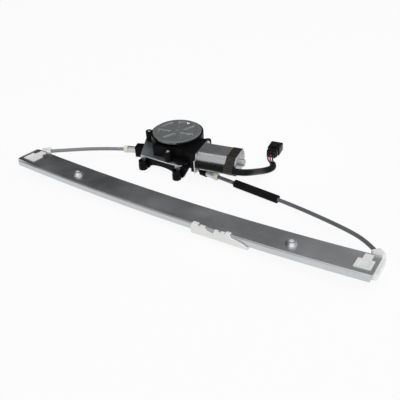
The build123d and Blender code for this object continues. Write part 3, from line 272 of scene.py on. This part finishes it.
SLEEVE_R = 5.0
PIGTAIL = [
    (123.26, -39.91, 30.0), (133.63, -38.27, 30.0), (142.0, -28.5, 27.0), (143.0, -11.0, 18.8),
    (143.0, 5.0, 11.0), (144.5, 15.5, 6.6), (148.0, 23.0, 5.1), (151.0, 29.5, 5.0), (151.5, 36.5, 5.0),
    (147.5, 42.0, 5.1),
]
CONNECTOR_PLACE = Vector((133.0, 68.0, 0.0))
CONNECTOR_TURN = math.radians(98.0)
CONNECTOR_MID = 7.0
ALONG = Vector((math.cos(CONNECTOR_TURN), math.sin(CONNECTOR_TURN), 0))
ACROSS = Vector((-math.sin(CONNECTOR_TURN), math.cos(CONNECTOR_TURN), 0))


def connector(along, across, rise):
    """Point in the connector's own directions, in millimetres."""
    return CONNECTOR_PLACE + ALONG * along + ACROSS * across + Vector((0, 0, rise))


# Three wires bow apart between the sleeve's end and the connector's neck
WIRE_R = 1.25
WIRE_PITCH = 2.4
WIRE_SPREAD = 3.6
WIRE_BITE = 1.0
WIRE_LEAN = 2.6
WIRE_BOW = 0.9
BOW_PARTS = (0.3, 0.7)
BOOT_LENGTH = 5.0
sleeve_end = Vector(PIGTAIL[-1])
sleeve_heading = (sleeve_end - Vector(PIGTAIL[-2])).normalized()


def wire_run(side):
    """Control points of one wire; side is -1, 0 or 1."""
    start = sleeve_end + ACROSS * side * WIRE_PITCH
    finish = connector(-BOOT_LENGTH, side * WIRE_SPREAD, CONNECTOR_MID)
    bow = ACROSS * (side * WIRE_BOW + WIRE_LEAN)
    return [
        start - sleeve_heading * WIRE_BITE,
        *(start.lerp(finish, part) + bow for part in BOW_PARTS),
        finish + ALONG * WIRE_BITE,
    ]


wires = smooth_lines(
    "wires", WIRE_R, [wire_run(side) for side in (-1, 0, 1)], (NAVY_WIRE, RED_WIRE, BLUE_WIRE),
)
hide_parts("pigtail_wires")

pigtail = smooth_lines("pigtail", SLEEVE_R, [PIGTAIL], [SLEEVE])
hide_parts("pigtail_sleeve")

# Conduits in one easy sweep from each ferrule to its cable guide
CONDUIT_R = 2.8
UPPER_RUN = [
    (-58.84, -28.53, 13.0), (-87.6, -39.0, 13.0), (-127.0, -67.0, 16.6), (-150.0, -88.0, 19.2),
    (-173.89, -107.24, 20.4),
]
LOWER_RUN = [
    (68.03, -29.1, 7.0), (98.39, -32.93, 7.0), (204.0, -45.6, 7.4), (253.0, -56.4, 9.6),
    (309.0, -74.5, 14.4), (339.0, -90.0, 18.0), (355.87, -107.19, 20.92),
]
for name, run, look in (("upper", UPPER_RUN, PALE_CONDUIT), ("lower", LOWER_RUN, CONDUIT)):
    tube = smooth_lines(name + "_tube", CONDUIT_R, [run], [look])
    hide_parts(name + "_conduit")

# Foam sleeve on the straight part of the lower conduit
FOAM_R = 5.9
FOAM_RUN = [(123.9, -35.89, 7.06), (160.63, -40.34, 7.22), (197.36, -44.8, 7.37)]
foam = smooth_lines("foam_wrap", FOAM_R, [FOAM_RUN], [FOAM])
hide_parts("foam_sleeve")


# Tools for small fitted details; softened edges of a box take a share of its least side
BOX_SOFT = 0.25


def piece(name, shape, look, body="frame"):
    """Finished mesh on a body."""
    mesh = bpy.data.meshes.new(name)
    bmesh.ops.scale(shape, vec=(MM, MM, MM), verts=shape.verts)
    shape.to_mesh(mesh)
    shape.free()
    mesh.materials.append(look)
    obj = bpy.data.objects.new(name, mesh)
    scene.collection.objects.link(obj)
    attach(obj, body)
    return obj


def axes(x_dir, z_dir, place):
    """Placement from a direction along x, one along z and a point."""
    x_dir = Vector(x_dir).normalized()
    z_dir = Vector(z_dir).normalized()
    turn = Matrix((x_dir, z_dir.cross(x_dir), z_dir)).transposed().to_4x4()
    return Matrix.Translation(place) @ turn


def add_box(shape, where, size):
    """Box centred on a placement, its edges softened."""
    made = bmesh.ops.create_cube(shape, size=1, matrix=where @ Matrix.Diagonal((*size, 1)))
    edges = {edge for vert in made["verts"] for edge in vert.link_edges}
    offset = min(size) * BOX_SOFT
    bmesh.ops.bevel(shape, geom=list(edges), offset=offset, segments=2, profile=0.5, affect="EDGES")


def add_turned(shape, where, corners, segments=32):
    """Closed profile of (radius, rise) corners turned about a placement's z; gives the rows of faces."""
    rings = []
    for step in range(segments):
        angle = 2 * math.pi * step / segments
        ray = Vector((math.cos(angle), math.sin(angle), 0))
        places = [where @ (ray * radius + Vector((0, 0, rise))) for radius, rise in corners]
        rings.append([shape.verts.new(place) for place in places])
    faces = []
    for ring, following in zip(rings, rings[1:] + rings[:1]):
        for side in range(len(corners)):
            after = (side + 1) % len(corners)
            faces.append(shape.faces.new((ring[side], following[side], following[after], ring[after])))
    return faces


def add_ring(shape, where, inner, outer, height, segments=32):
    """Flat ring on a placement, from its plane up."""
    return add_turned(shape, where, ((inner, 0), (outer, 0), (outer, height), (inner, height)), segments)


def loop(shape, points):
    """Ring of new vertices."""
    return [shape.verts.new(point) for point in points]


def bridge(shape, first, second, index=0):
    """Smooth strip of faces between two rings with as many vertices."""
    for place in range(len(first)):
        after = (place + 1) % len(first)
        face = shape.faces.new((first[place], first[after], second[after], second[place]))
        face.smooth = True
        face.material_index = index


def circle(radius, rise, count):
    """Points round the drive axis."""
    turns = [2 * math.pi * step / count for step in range(count)]
    return [Vector((radius * math.cos(turn), radius * math.sin(turn), rise)) for turn in turns]


# Housing screws with a socket, each in a cup on its ear; the left one is rose, the right one dark, its
# darker steel being painted shade behind the motor's flange
SCREW_CIRCLE = 51.0
SCREWS = ((189.0, 0), (287.0, 1), (10.5, 2))
EAR_TOP = 38.0
SHANK_END = -16.8
SCREW_PROFILE = (
    (0.05, SHANK_END), (1.95, SHANK_END), (1.95, 0.0), (2.9, 0.0), (2.9, 1.5), (2.4, 2.2), (1.5, 2.3),
    (1.3, 1.2), (0.05, 1.2),
)
CUP_PROFILE = ((3.1, 0.0), (5.55, 0.0), (5.55, 1.7), (5.1, 2.2), (3.5, 2.2), (3.1, 1.8))
screws = bmesh.new()
cups = bmesh.new()
for angle, look in SCREWS:
    turn = math.radians(angle)
    ear = (SCREW_CIRCLE * math.cos(turn), SCREW_CIRCLE * math.sin(turn), EAR_TOP)
    place = axes((1, 0, 0), (0, 0, 1), ear)
    for face in add_turned(screws, place, SCREW_PROFILE):
        face.material_index = look
    add_turned(cups, place, CUP_PROFILE)
screws = piece("socket_screws", screws, ROSE)
for look in (STEEL, SHADED_SCREW_STEEL):
    screws.data.materials.append(look)
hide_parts("housing_screws")
piece("screw_cups", cups, BLACK)

# Lid over the gears: six pressed panels between spokes, a dimple at the hub and a lip above a skirt in the
# black look, which is painted shade under the lip
LID_TOP = 49.0
LID_COUNT = 120
LIP_ROWS = 6
LID_PROFILE = (
    (37.3, 49.0), (37.85, 48.85), (38.2, 48.45), (38.3, 48.0), (38.3, 44.8), (38.1, 44.3), (37.6, 44.1),
    (37.1, 44.0), (37.1, 41.1), (36.2, 41.1), (36.2, 46.0),
)
PANELS = 6
SPOKE_ANGLE = math.radians(8.0)
SPOKE_HALF = 2.9
PANEL_IN = 9.0
PANEL_OUT = 31.5
PANEL_CORNER = 2.0
CORNER_SHARE = 0.4
CORNER_STEPS = (0.0, 0.25, 0.5, 0.75, 1.0)
ARC_STEPS = 8
PRESS = 1.7
PRESS_SLOPE = 2.0
PRESS_ROWS = ((0.0, 0.0), (0.1, 0.05), (0.25, 0.22), (0.75, 0.78), (0.9, 0.95), (1.0, 1.0))
DIMPLE_R = 3.2
DIMPLE_PRESS = 0.9
DIMPLE_COUNT = 32


def bend(before, corner, after):
    """Points round a corner, between two points near it."""
    return [before.lerp(corner, part).lerp(corner.lerp(after, part), part) for part in CORNER_STEPS]


def panel_loop(start, inset, rise):
    """Outline of one panel, moved in from its edge and set at a height."""
    half, outer, inner = SPOKE_HALF + inset, PANEL_OUT - inset, PANEL_IN + inset
    finish = start + 2 * math.pi / PANELS

    def at(radius, turn):
        return Vector((radius * math.cos(turn), radius * math.sin(turn), rise))

    points = []
    for radius, next_radius, first, last in ((outer, inner, start, finish), (inner, outer, finish, start)):
        side = 1 if last > first else -1
        lean = side * math.asin(half / radius)
        arc_from, arc_to = first + lean, last - lean
        trim = side * min(PANEL_CORNER, CORNER_SHARE * radius * abs(arc_to - arc_from)) / radius
        sweep = arc_to - arc_from - 2 * trim
        arc = [arc_from + trim + sweep * step / ARC_STEPS for step in range(ARC_STEPS + 1)]
        points += [at(radius, turn) for turn in arc[:-1]]
        corner = at(radius, arc_to)
        next_lean = math.asin(half / next_radius)
        other = at(next_radius, last - side * next_lean)
        points += bend(at(radius, arc[-1]), corner, corner + (other - corner).normalized() * PANEL_CORNER)
        following = other + (corner - other).normalized() * PANEL_CORNER
        next_trim = min(PANEL_CORNER, CORNER_SHARE * next_radius * abs(finish - start - 2 * next_lean))
        after = at(next_radius, last - side * (next_lean + next_trim / next_radius))
        points += bend(following, other, after)[:-1]
    return points


lid = bmesh.new()
rim = [loop(lid, circle(radius, rise, LID_COUNT)) for radius, rise in LID_PROFILE]
# Rows below the lip take the black look: painted shade under the lip
for row, (first, second) in enumerate(zip(rim, rim[1:])):
    bridge(lid, first, second, int(row >= LIP_ROWS))
lid.faces.new(rim[-1]).material_index = 1
edges_of = [rim[0]]
for panel in range(PANELS):
    start = SPOKE_ANGLE + 2 * math.pi * panel / PANELS
    rows = [
        loop(lid, panel_loop(start, PRESS_SLOPE * inset, LID_TOP - PRESS * depth))
        for inset, depth in PRESS_ROWS
    ]
    edges_of.append(rows[0])
    for first, second in zip(rows, rows[1:]):
        bridge(lid, first, second)
    lid.faces.new(rows[-1])
rows = [
    loop(lid, circle(DIMPLE_R - DIMPLE_PRESS * inset, LID_TOP - DIMPLE_PRESS * depth, DIMPLE_COUNT))
    for inset, depth in PRESS_ROWS
]
edges_of.append(rows[0])
for first, second in zip(rows, rows[1:]):
    bridge(lid, first, second)
lid.faces.new(rows[-1])
top = [lid.edges.get((ring[place - 1], ring[place])) for ring in edges_of for place in range(len(ring))]
bmesh.ops.triangle_fill(lid, use_beauty=True, use_dissolve=False, edges=top, normal=(0, 0, 1))
bmesh.ops.recalc_face_normals(lid, faces=lid.faces)
lid = piece("gear_lid", lid, GREY)
lid.data.materials.append(BLACK)
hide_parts("gear_cover")

# Web of the gear housing on the plate, between the front ear and the motor's seat
WEB_CORNERS = (
    (8.0, -40.0), (12.5, -44.5), (30.0, -50.4), (36.0, -53.0), (40.0, -51.0), (44.5, -45.0), (42.0, -36.0),
    (24.0, -34.0),
)
WEB_FOOT = 23.0
WEB_RISE = 4.5
WEB_ROUND = 1.2
web = bmesh.new()
low = loop(web, [Vector((*corner, WEB_FOOT)) for corner in WEB_CORNERS])
high = loop(web, [Vector((*corner, WEB_FOOT + WEB_RISE)) for corner in WEB_CORNERS])
bridge(web, low, high)
brim = web.faces.new(high)
web.faces.new(low)
bmesh.ops.recalc_face_normals(web, faces=web.faces)
bmesh.ops.bevel(web, geom=list(brim.edges), offset=WEB_ROUND, segments=3, profile=0.5, affect="EDGES")
piece("housing_web", web, BLACK)

# Steel wing of the motor's flange beside the lead
MOTOR_TURN = math.radians(9.0)
MOTOR_AXIS = Vector((math.cos(MOTOR_TURN), math.sin(MOTOR_TURN), 0))
MOTOR_SIDE = Vector((-MOTOR_AXIS.y, MOTOR_AXIS.x, 0))
MOTOR_PLACE = Vector((5.04, -31.8, 30.0))
WING_ALONG = 55.7
WING_ACROSS = -27.1
WING_RISE = -2.2
WING_SIZE = (1.8, 8.4, 21.0)
wing = bmesh.new()
middle = MOTOR_PLACE + MOTOR_AXIS * WING_ALONG + MOTOR_SIDE * WING_ACROSS + Vector((0, 0, WING_RISE))
add_box(wing, axes(MOTOR_AXIS, (0, 0, 1), middle), WING_SIZE)
piece("flange_wing", wing, STEEL)

# Posts on the two front feet, up towards the plate
FEET = ((-31.5, -55.0), (33.0, -56.0))
FOOT_TOP = 8.0
POST_PROFILE = ((3.5, 0.0), (6.4, 0.0), (6.4, 6.2), (5.8, 7.0), (3.9, 7.0), (3.5, 6.6))
posts = bmesh.new()
for foot in FEET:
    add_turned(posts, axes((1, 0, 0), (0, 0, 1), (*foot, FOOT_TOP)), POST_PROFILE)
piece("foot_posts", posts, BLACK)

# Slider: a carrier under the rail, a front wall with an uneven top and hooks over the rail's edge
RAIL_MID = (87.0, -138.0, 16.0)
RAIL_TILT = math.radians(5.5)
RAIL_BOW = 4088.0
SLIDER_AT = 83.0
SLIDER_TURN = SLIDER_AT / RAIL_BOW
SLIDER_HALF = 42.0
WALL_FRONT = -24.6
WALL_BACK = -22.4
WALL_FOOT = -12.6
WALL_LINE = (
    (-42.0, -6.0), (-41.4, -1.0), (-40.2, 0.6), (-31.6, 0.6), (-30.6, -0.6), (-29.2, -0.6), (-28.4, 0.4),
    (-20.6, 0.3), (-19.6, -1.5), (-18.0, -3.4), (-8.6, -3.9), (-7.2, -2.0), (-6.2, 0.2), (-1.2, 0.4),
    (-0.2, -0.5), (1.8, -0.5), (2.8, 0.4), (8.2, 0.2), (9.2, 0.7), (15.8, 0.7), (16.8, -1.0), (18.2, -2.8),
    (26.0, -4.0), (33.0, -5.6), (38.0, -7.6), (42.0, -10.2),
)
CARRIER_SECTION = (
    (-23.0, -9.5), (-23.0, -12.55), (16.0, -12.55), (16.0, -3.65), (-6.5, -3.65), (-6.5, -7.1), (-9.5, -7.1),
    (-9.5, -3.65), (-15.9, -3.65), (-15.9, -1.6), (-18.2, -1.6), (-20.4, -3.8), (-20.4, -9.5),
)
CARRIAGE_SOFT = 0.3
# Place along the slider, length, reach over the rail and height of each hook
HOOKS = (
    (-36.1, 9.0, 6.2, 1.7), (-24.5, 7.8, 4.0, 1.2), (-3.6, 5.0, 3.4, 1.0), (5.6, 5.4, 3.8, 1.1),
    (12.6, 6.6, 6.0, 1.8),
)
HOOK_GAP = 0.4
rail_plane = axes((1, 0, 0), (0, math.sin(RAIL_TILT), math.cos(RAIL_TILT)), RAIL_MID)
station = rail_plane @ axes(
    (math.cos(SLIDER_TURN), 0, math.sin(SLIDER_TURN)),
    (-math.sin(SLIDER_TURN), 0, math.cos(SLIDER_TURN)),
    (RAIL_BOW * math.sin(SLIDER_TURN), 0, RAIL_BOW * (1 - math.cos(SLIDER_TURN))),
)


def add_prism(shape, low, high, soften):
    """Closed body between two outlines with as many points, its edges softened."""
    first, second = loop(shape, low), loop(shape, high)
    bridge(shape, first, second)
    faces = [shape.faces.new(first), shape.faces.new(second)]
    bmesh.ops.recalc_face_normals(shape, faces=shape.faces)
    edges = {edge for face in faces for edge in face.edges}
    bmesh.ops.bevel(
        shape, geom=list(edges), offset=soften, segments=2, profile=0.5, affect="EDGES", clamp_overlap=True,
    )


carriage = bmesh.new()
outline = [*WALL_LINE, (SLIDER_HALF, WALL_FOOT), (-SLIDER_HALF, WALL_FOOT)]
add_prism(
    carriage,
    [station @ Vector((along, WALL_FRONT, rise)) for along, rise in outline],
    [station @ Vector((along, WALL_BACK, rise)) for along, rise in outline],
    CARRIAGE_SOFT,
)
add_prism(
    carriage,
    [station @ Vector((-SLIDER_HALF, across, rise)) for across, rise in CARRIER_SECTION],
    [station @ Vector((SLIDER_HALF, across, rise)) for across, rise in CARRIER_SECTION],
    CARRIAGE_SOFT,
)
for along, length, reach, height in HOOKS:
    middle = station @ Matrix.Translation((along, WALL_FRONT + reach / 2, HOOK_GAP + height / 2))
    add_box(carriage, middle, (length, reach, height))
carriage = piece("slider_carriage", carriage, WHITE, "slider")
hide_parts("slider")

# Connector: wire seals in its neck, the boot on the neck and ribs on its collar
COLLAR_AT = 9.0
COLLAR_TOP = 14.0
RIB_PLACES = (-8.2, -6.2, 6.2, 8.2)
RIB_SIZE = (14.0, 0.9, 0.8)
RIB_LIFT = 0.2
SEAL_R = 1.8
SEAL_LENGTH = 0.5
BOOT_SIZE = (BOOT_LENGTH, 15.0, 10.5)
seals = bmesh.new()
ribs = bmesh.new()
for side in (-1, 0, 1):
    seat = connector(-BOOT_LENGTH, side * WIRE_SPREAD, CONNECTOR_MID)
    add_ring(seals, axes(ACROSS, -ALONG, seat), WIRE_R, SEAL_R, SEAL_LENGTH)
for across in RIB_PLACES:
    middle = connector(COLLAR_AT + RIB_SIZE[0] / 2, across, COLLAR_TOP + RIB_LIFT)
    add_box(ribs, axes(ALONG, (0, 0, 1), middle), RIB_SIZE)
seals = piece("wire_seals", seals, RUBBER)
boot = bmesh.new()
add_box(boot, axes(ALONG, (0, 0, 1), connector(-BOOT_LENGTH / 2, 0, CONNECTOR_MID)), BOOT_SIZE)
boot = piece("connector_boot", boot, BLACK_SATIN)
ribs = piece("connector_ribs", ribs, BLACK_SATIN)

# Mouth of the sleeve, cut square
MOUTH_INNER = SLEEVE_R - 0.9
MOUTH_OUTER = SLEEVE_R - 0.05
MOUTH_LENGTH = 0.5
mouth = bmesh.new()
add_ring(mouth, axes((0, 0, 1), sleeve_heading, sleeve_end), MOUTH_INNER, MOUTH_OUTER, MOUTH_LENGTH)
mouth = piece("sleeve_mouth", mouth, SLEEVE)

# Floor: pale, seen white by the eye and by reflections, with the shadow kept
FLOOR_DROP = 0.2
FLOOR_HALF = 60
FLOOR_GLOW = 0.9
sheet = bmesh.new()
bmesh.ops.create_grid(sheet, x_segments=1, y_segments=1, size=FLOOR_HALF)
floor_mesh = bpy.data.meshes.new("floor")
sheet.to_mesh(floor_mesh)
sheet.free()
floor = bpy.data.objects.new("floor", floor_mesh)
scene.collection.objects.link(floor)
floor.location = (0, 0, -FLOOR_DROP * MM)
floor_mat, tree, shader = material("floor_white", (0.9, 0.9, 0.9), 0.9, 0, 0.1)
glow = tree.nodes.new("ShaderNodeEmission")
path = tree.nodes.new("ShaderNodeLightPath")
seen = path.outputs["Is Camera Ray"]
for ray in ("Is Glossy Ray", "Is Transmission Ray"):
    either = tree.nodes.new("ShaderNodeMath")
    either.operation = "MAXIMUM"
    tree.links.new(seen, either.inputs[0])
    tree.links.new(path.outputs[ray], either.inputs[1])
    seen = either.outputs[0]
mix = tree.nodes.new("ShaderNodeMixShader")
tree.links.new(span(tree, seen, 0, 1, 0, FLOOR_GLOW), mix.inputs["Fac"])
tree.links.new(shader.outputs[0], mix.inputs[1])
tree.links.new(glow.outputs[0], mix.inputs[2])
tree.links.new(mix.outputs[0], tree.nodes["Material Output"].inputs["Surface"])
floor_mesh.materials.append(floor_mat)

# Surround: bright on the viewer's right, dim behind
BRIGHT_SIDE = (0.92, -0.25, 0.3)
LEAN_RANGE = (-0.6, 0.35)
GLOW_RANGE = (0.035, 0.8)
world = bpy.data.worlds.new("studio")
scene.world = world
world.use_nodes = True
tree = world.node_tree
where = tree.nodes.new("ShaderNodeTexCoord")
lean = tree.nodes.new("ShaderNodeVectorMath")
lean.operation = "DOT_PRODUCT"
lean.inputs[1].default_value = BRIGHT_SIDE
tree.links.new(where.outputs["Generated"], lean.inputs[0])
surround = span(tree, lean.outputs["Value"], *LEAN_RANGE, *GLOW_RANGE)
tree.links.new(surround, tree.nodes["Background"].inputs["Strength"])
tree.nodes["Background"].inputs["Color"].default_value = (1, 1, 1, 1)


# Lamps; places are in metres
def lamp(name, kind, place, aim, power):
    """Lamp of a kind, aimed at a point."""
    data = bpy.data.lights.new(name, kind)
    data.energy = power
    obj = bpy.data.objects.new(name, data)
    scene.collection.objects.link(obj)
    obj.location = place
    obj.rotation_euler = (Vector(aim) - Vector(place)).to_track_quat("-Z", "Y").to_euler()
    return data


def soft_lamp(name, place, aim, size, power):
    """Soft rectangular lamp."""
    data = lamp(name, "AREA", place, aim, power)
    data.shape = "RECTANGLE"
    data.size, data.size_y = size


soft_lamp("front_key", (0.9, -1.5, 0.55), (0.1, -0.1, 0), (2.4, 0.9), 5)
soft_lamp("top_soft", (0.3, 0.1, 1.6), (0.1, -0.08, 0), (1.6, 1.6), 6.5)

# Narrow lamp on the gear lid from the front left
SPOT_ANGLE = math.radians(8.5)
SPOT_BLEND = 0.7
SPOT_RADIUS = 0.09
spot = lamp("lid_spot", "SPOT", (-0.74, -0.6, 0.97), (0.005, 0.01, 0.045), 30)
spot.spot_size = SPOT_ANGLE
spot.spot_blend = SPOT_BLEND
spot.shadow_soft_size = SPOT_RADIUS

# Camera at the photograph's place
CAMERA_PLACE = (0.4616, -0.6256, 0.4472)
CAMERA_ANGLES = (31.12, 34.78, -1.94)
LENS = 49.3
SENSOR = 36
SHIFT = (-0.0631, 0.0035)
turn, tilt, roll = (math.radians(value) for value in CAMERA_ANGLES)
ahead = Vector((-math.sin(turn) * math.cos(tilt), math.cos(turn) * math.cos(tilt), -math.sin(tilt)))
right = Vector((math.cos(turn), math.sin(turn), 0))
up = right.cross(ahead)
right, up = right * math.cos(roll) + up * math.sin(roll), up * math.cos(roll) - right * math.sin(roll)
lens = bpy.data.cameras.new("camera")
lens.sensor_fit = "HORIZONTAL"
lens.sensor_width = SENSOR
lens.lens = LENS
lens.shift_x, lens.shift_y = SHIFT
lens.clip_start = 0.01
camera = bpy.data.objects.new("camera", lens)
scene.collection.objects.link(camera)
facing = Matrix((right, up, -ahead)).transposed().to_4x4()
camera.matrix_world = Matrix.Translation(CAMERA_PLACE) @ facing
scene.camera = camera
scene.view_settings.view_transform = "Standard"
